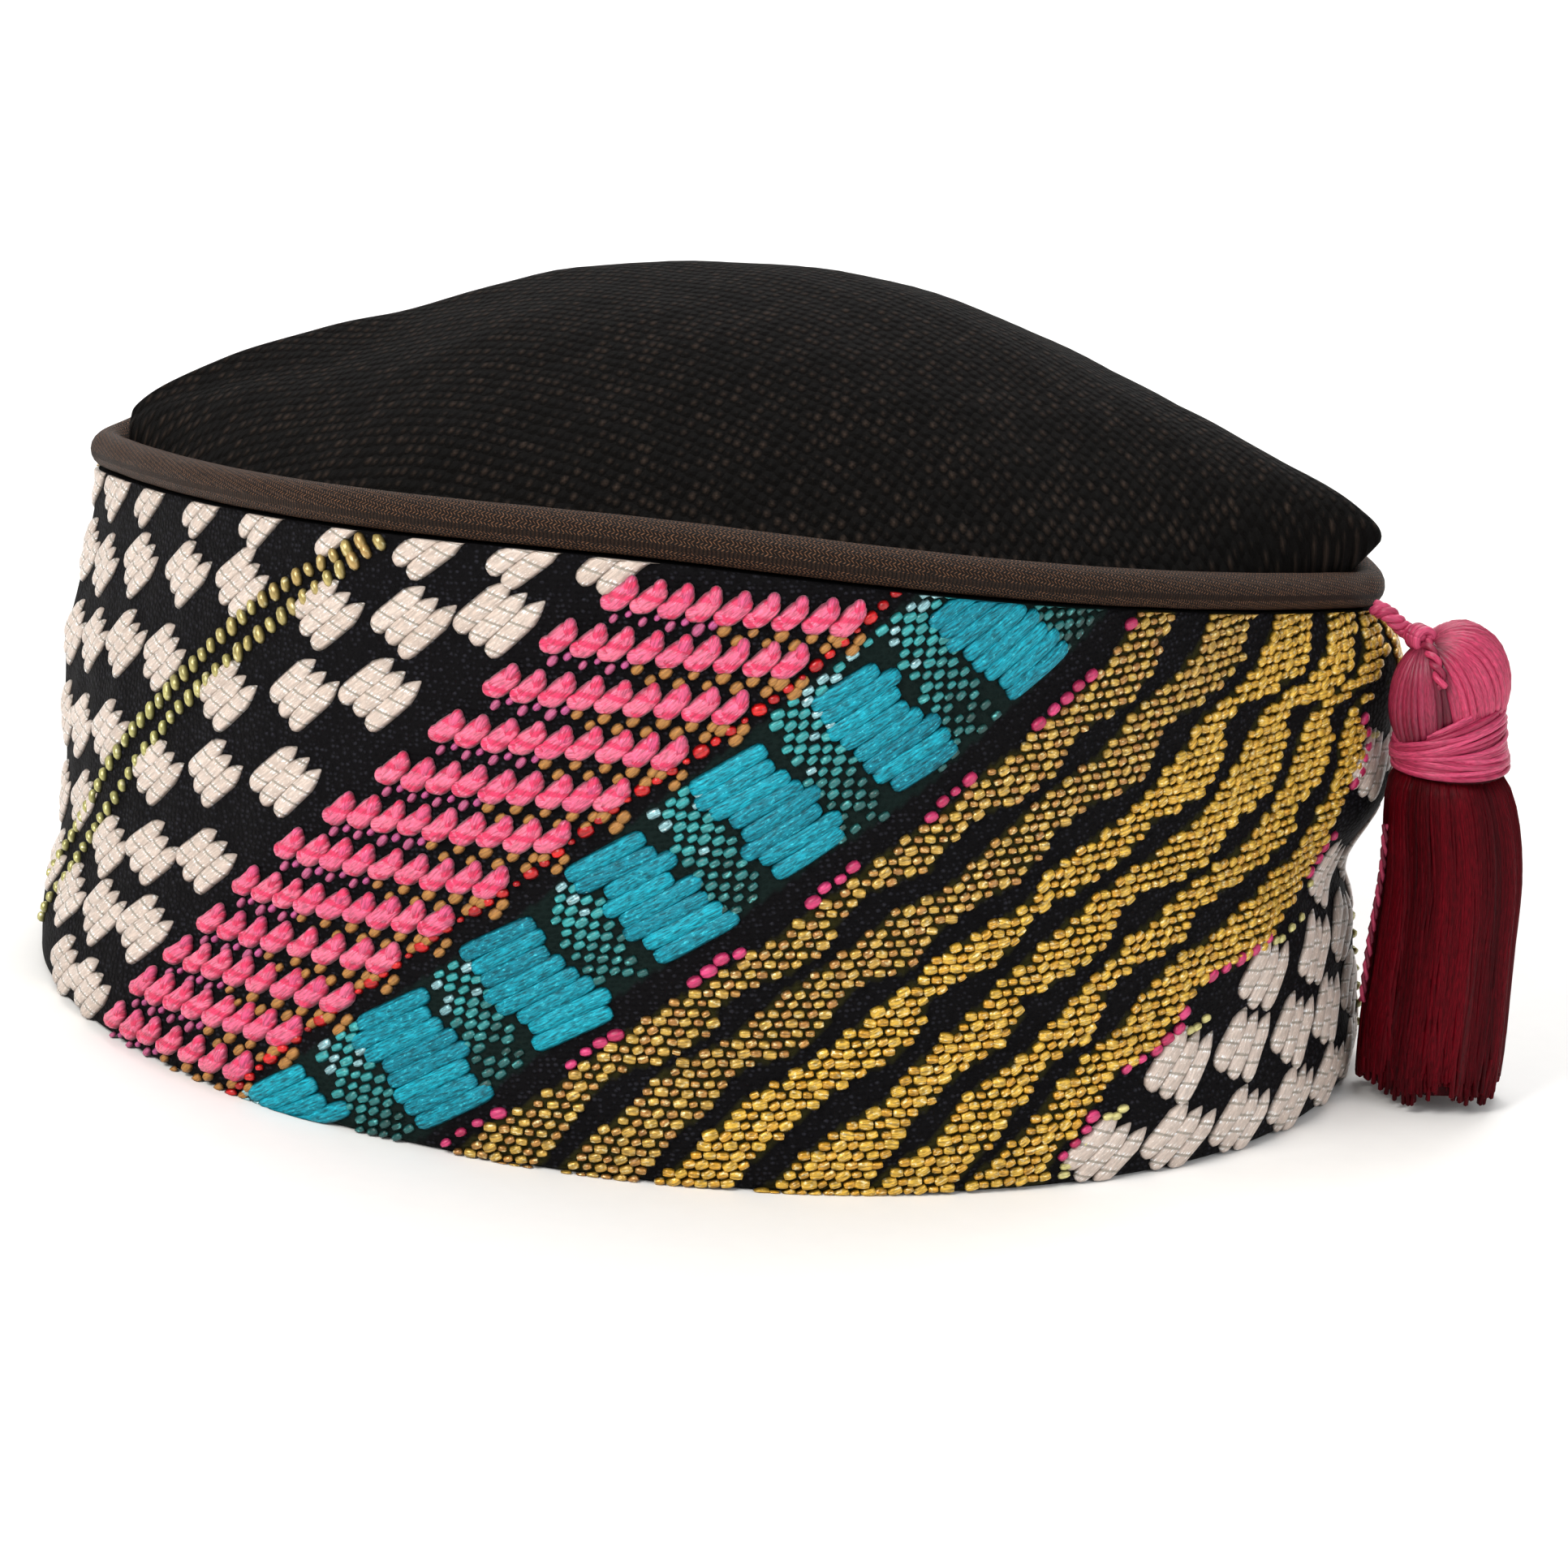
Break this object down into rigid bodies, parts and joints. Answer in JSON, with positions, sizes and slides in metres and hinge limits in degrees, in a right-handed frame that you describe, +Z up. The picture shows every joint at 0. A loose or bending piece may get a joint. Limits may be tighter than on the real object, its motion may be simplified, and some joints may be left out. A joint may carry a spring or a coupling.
{
  "type": "tubeteika skullcap",
  "caption": "Soft two-cornered skullcap with a bias-cut brocade side band, dark piping, a domed knit crown and a thread tassel at one corner.",
  "frame": {"origin": "middle of the bounding box's underside, in the plane of the rim that the cap stands on", "axes": "+Z up, +X along the length from corner to corner towards the tassel, -Y towards the side with most of the pattern"},
  "size_m": [0.2184, 0.1676, 0.1066],
  "materials": {
    "brocade": "black ground cloth with raised silky and metallic yarn floats",
    "piping_twill": "dull fine twill",
    "crown_knit": "matte fine knit",
    "tassel_thread": "soft lustrous thread",
    "binding_thread": "soft lustrous thread"
  },
  "bodies": {
    "root": {"side_band": "brocade", "piping": "piping_twill", "crown": "crown_knit", "tassel": "tassel_thread", "tassel_wrap": "binding_thread", "tassel_cord": "binding_thread"}
  },
  "joints": []
}
